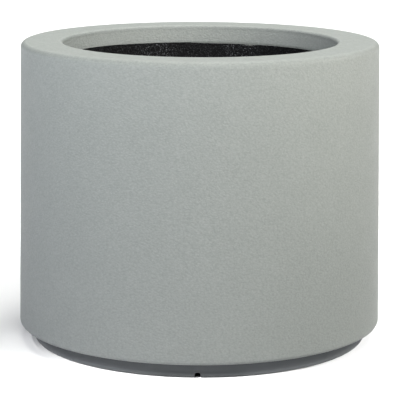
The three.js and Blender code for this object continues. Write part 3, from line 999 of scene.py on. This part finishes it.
# Pull ring: drawn wire, bent round and butt-welded at its far side.
droop = math.asin((LUG_HOLE_Z - (FLANGE_TOP + GAP + RING_WIRE_R)) / (2 * RING_R))
around, across = 144, 28
points = []
for i in range(around):
    a = 2 * math.pi * i / around
    weld = math.exp(-(((a - 1.5 * math.pi) / 0.05) ** 2))
    wire = RING_WIRE_R - 0.02 + 0.02 * weld
    for j in range(across):
        b = 2 * math.pi * j / across
        r = RING_R + wire * math.cos(b)
        points.append((r * math.cos(a), r * math.sin(a) - RING_R, wire * math.sin(b)))
tilt = Matrix.Rotation(droop, 3, "X")
points = [(tilt @ Vector(p) + Vector((0, 0, LUG_HOLE_Z))) * MM for p in points]
faces = [
    (
        i * across + j,
        ((i + 1) % around) * across + j,
        ((i + 1) % around) * across + (j + 1) % across,
        i * across + (j + 1) % across,
    )
    for i in range(around)
    for j in range(across)
]
ring = mesh_object("pull_ring_wire", points, faces, 0)
finish(ring, "stainless_steel", "ring", ("pull_ring",))

# ---------------------------------------------------------------- floor
bm = bmesh.new()
bmesh.ops.create_grid(bm, x_segments=24, y_segments=24, size=30.0)
mesh = bpy.data.meshes.new("studio_floor")
bm.to_mesh(mesh)
bm.free()
floor = bpy.data.objects.new("studio_floor", mesh)
scene.collection.objects.link(floor)
f = Nodes("studio_floor")
f.set(Base_Color=f.mix(f.span(f.noise(900.0, detail=2.0), 0.3, 0.7), (0.88, 0.88, 0.88), (0.90, 0.90, 0.90)))
f.set(Roughness=0.85)
f.shader.inputs["Specular IOR Level"].default_value = 0.1
floor.data.materials.append(f.material)
floor.visible_diffuse = False
floor.visible_shadow = False

# Keeps the light from below out of the hollow inside the foot.
bm = bmesh.new()
bmesh.ops.create_circle(bm, cap_ends=True, segments=96, radius=0.2825)
mesh = bpy.data.meshes.new("hollow_shade")
bm.to_mesh(mesh)
bm.free()
shade = bpy.data.objects.new("hollow_shade", mesh)
shade.location = (0, 0, -0.001)
scene.collection.objects.link(shade)
f = Nodes("hollow_shade")
f.set(Base_Color=(0.02, 0.02, 0.02, 1.0), Roughness=0.9)
shade.data.materials.append(f.material)
# And keeps the low front light from running through the front notch.
flag = shade.copy()
flag.data = bpy.data.meshes.new("notch_flag")
flag.data.from_pydata([(-0.009, -0.266, 0), (0.009, -0.266, 0), (0.009, -0.266, 0.012), (-0.009, -0.266, 0.012)], [], [(0, 1, 2, 3)])
flag.data.materials.append(f.material)
flag.name = "notch_flag"
scene.collection.objects.link(flag)
flag.visible_camera = False

# ---------------------------------------------------------------- light
# A white room: soft light from broad directions all round, and five soft boxes.
# Each entry: direction that it comes from, tightness, colour times strength.
ROOM = {
    "right": ((0.93, -0.25, 0.45), 2.0, (0.645, 0.68, 0.71)),
    "left": ((-0.93, -0.25, 0.30), 2.0, (0.315, 0.310, 0.400)),
    "back": ((0.0, 0.95, 0.40), 2.0, (0.107, 0.107, 0.120)),
    "frontlow": ((0.0, -1.0, 0.12), 8.0, (2.52, 2.47, 2.57)),
    "overhead": ((0.10, -0.04, 1.0), 40.0, (17.1, 17.1, 16.4)),
    "ground_left": ((-0.93, -0.30, -0.25), 2.0, (0.425, 0.437, 0.545)),
}
world = bpy.data.worlds.new("studio")
scene.world = world
world.use_nodes = True
tree = world.node_tree
tree.nodes.clear()


def world_node(kind, *inputs, **values):
    n = tree.nodes.new(kind)
    for key, value in values.items():
        setattr(n, key, value)
    for i, value in enumerate(inputs):
        if isinstance(value, bpy.types.NodeSocket):
            tree.links.new(value, n.inputs[i])
        elif value is not None:
            n.inputs[i].default_value = value
    return n


where = world_node("ShaderNodeTexCoord").outputs["Generated"]
unit = world_node("ShaderNodeVectorMath", where, operation="NORMALIZE").outputs[0]
rise = world_node("ShaderNodeSeparateXYZ", unit).outputs[2]
upper = world_node("ShaderNodeMapRange", rise, -0.02, 0.02).outputs[0]
lower = world_node("ShaderNodeMath", 1.0, upper, operation="SUBTRACT").outputs[0]
total = None
for name, (direction, tight, colour) in ROOM.items():
    toward = Vector(direction).normalized()
    share = lower if name.startswith("ground") else upper
    if tight:
        facing = world_node("ShaderNodeVectorMath", unit, tuple(toward), operation="DOT_PRODUCT").outputs["Value"]
        facing = world_node("ShaderNodeMath", facing, 0.0, operation="MAXIMUM").outputs[0]
        facing = world_node("ShaderNodeMath", facing, tight, operation="POWER").outputs[0]
        share = world_node("ShaderNodeMath", facing, share, operation="MULTIPLY").outputs[0]
    tint = world_node("ShaderNodeVectorMath", colour, operation="SCALE")
    tint.name = "room_" + name
    tree.links.new(share, tint.inputs["Scale"])
    if total is None:
        total = tint.outputs[0]
    else:
        total = world_node("ShaderNodeVectorMath", total, tint.outputs[0], operation="ADD").outputs[0]
glow = world_node("ShaderNodeBackground", total)
# Seen directly, the room is one plain pale tone.
plain_room = world_node("ShaderNodeBackground", (1.0, 1.0, 1.0, 1.0), 1.05)
seen = world_node("ShaderNodeLightPath").outputs["Is Camera Ray"]
room_mix = world_node("ShaderNodeMixShader", seen, glow.outputs[0], plain_room.outputs[0])
tree.links.new(room_mix.outputs[0], world_node("ShaderNodeOutputWorld").inputs["Surface"])


def aim(obj, target):
    direction = Vector(target) - obj.location
    obj.rotation_mode = "QUATERNION"
    obj.rotation_quaternion = direction.to_track_quat("-Z", "Y")


def panel_light(name, place, target, width, height, colour):
    """A soft box whose colour carries its watts."""
    data = bpy.data.lights.new(name, "AREA")
    data.shape = "RECTANGLE"
    data.size, data.size_y = width, height
    data.energy = max(colour)
    data.color = [c / max(colour) for c in colour]
    obj = bpy.data.objects.new(name, data)
    obj.location = place
    scene.collection.objects.link(obj)
    aim(obj, target)
    return obj


BOXES = {
    "box_front": ((0.05, -1.1, 0.87), (0, -0.3, 0.5), 1.2, 0.22, (2.12, 2.14, 2.08)),
    "box_right": ((1.0, -0.7, 0.85), (0.2, -0.2, 0.5), 0.8, 0.35, (1.27, 1.22, 0.75)),
    "box_rightside": ((1.15, -0.25, 0.82), (0.2, -0.1, 0.5), 0.9, 0.35, (3.25, 2.99, 3.04)),
    "box_back": ((0.0, 1.25, 1.55), (0, 0.2, 0.5), 1.6, 0.8, (9.0, 9.1, 9.0)),
    "box_left": ((-1.0, -0.7, 0.85), (-0.2, -0.2, 0.5), 0.8, 0.35, (2.29, 2.52, 2.41)),
}
for name, (place, target, width, height, colour) in BOXES.items():
    panel_light(name, place, target, width, height, colour)

# Three lamps light the floor alone, so that it is as white at the front of the foot as it is all round,
# and the tall box at the back leaves it alone, so that the shadow on the left stays.
floor_only = bpy.data.collections.new("floor_only")
floor_only.objects.link(floor)
not_floor = bpy.data.collections.new("not_floor")
not_floor.objects.link(floor)
not_floor.collection_objects[0].light_linking.link_state = "EXCLUDE"
bpy.data.objects["box_back"].light_linking.receiver_collection = not_floor

# The white floor's glow on the foot.
foot_only = bpy.data.collections.new("foot_only")
foot_only.objects.link(foot)
bounce = panel_light("floor_bounce", (0, 0, -0.25), (0, 0, 0.5), 1.2, 1.2, (10.5, 10.5, 10.5))
bounce.data.shape = "DISK"
bounce.light_linking.receiver_collection = foot_only


def floor_lamp(kind, azimuth, rise, target, away):
    """A lamp for the floor alone, away metres from its target."""
    data = bpy.data.lights.new("floor_" + kind.lower(), kind)
    obj = bpy.data.objects.new(data.name, data)
    a, b = math.radians(azimuth), math.radians(rise)
    toward = Vector((math.cos(a) * math.cos(b), math.sin(a) * math.cos(b), math.sin(b)))
    obj.location = Vector(target) + toward * away
    scene.collection.objects.link(obj)
    aim(obj, target)
    obj.light_linking.receiver_collection = floor_only
    return data


lamp = floor_lamp("SUN", -32, 25, (0, 0, 0), 3.0)
lamp.energy = 5.07
lamp.angle = math.radians(16)
lamp = floor_lamp("SPOT", -125, 27, (-0.105, -0.272, 0), 2.2)
lamp.energy = 620
lamp.spot_size = math.radians(12.6)
lamp.spot_blend = 0.8
lamp.shadow_soft_size = 0.12
lamp = floor_lamp("SPOT", -168, 58, (-0.228, -0.036, 0), 1.5)
lamp.energy = 76
lamp.spot_size = math.radians(6.6)
lamp.spot_blend = 1.0
lamp.shadow_soft_size = 0.06

# ---------------------------------------------------------------- camera
CAMERA_AT = (0.0007, -3.3251, 0.8900)
PITCH, ROLL, AROUND, FOCAL_PX = 11.158, 0.202, 0.45, 1986.1
p, q = math.radians(PITCH), math.radians(ROLL)
around = Matrix.Rotation(math.radians(AROUND), 3, "Z")
forward = around @ Vector((0, math.cos(p), -math.sin(p)))
up = around @ Vector((0, math.sin(p), math.cos(p)))
right = around @ Vector((1, 0, 0))
right_t = right * math.cos(q) + up * math.sin(q)
up_t = up * math.cos(q) - right * math.sin(q)
data = bpy.data.cameras.new("camera")
data.sensor_width = 36.0
data.lens = FOCAL_PX * 36.0 / 400.0
data.clip_start, data.clip_end = 0.05, 200.0
camera = bpy.data.objects.new("camera", data)
turn = Matrix((right_t, up_t, -forward)).transposed().to_4x4()
camera.matrix_world = Matrix.Translation(around @ Vector(CAMERA_AT)) @ turn
scene.collection.objects.link(camera)
scene.camera = camera

scene.view_settings.view_transform = "Standard"
scene.view_settings.look = "None"
scene.view_settings.exposure = 0.0
scene.view_settings.gamma = 1.0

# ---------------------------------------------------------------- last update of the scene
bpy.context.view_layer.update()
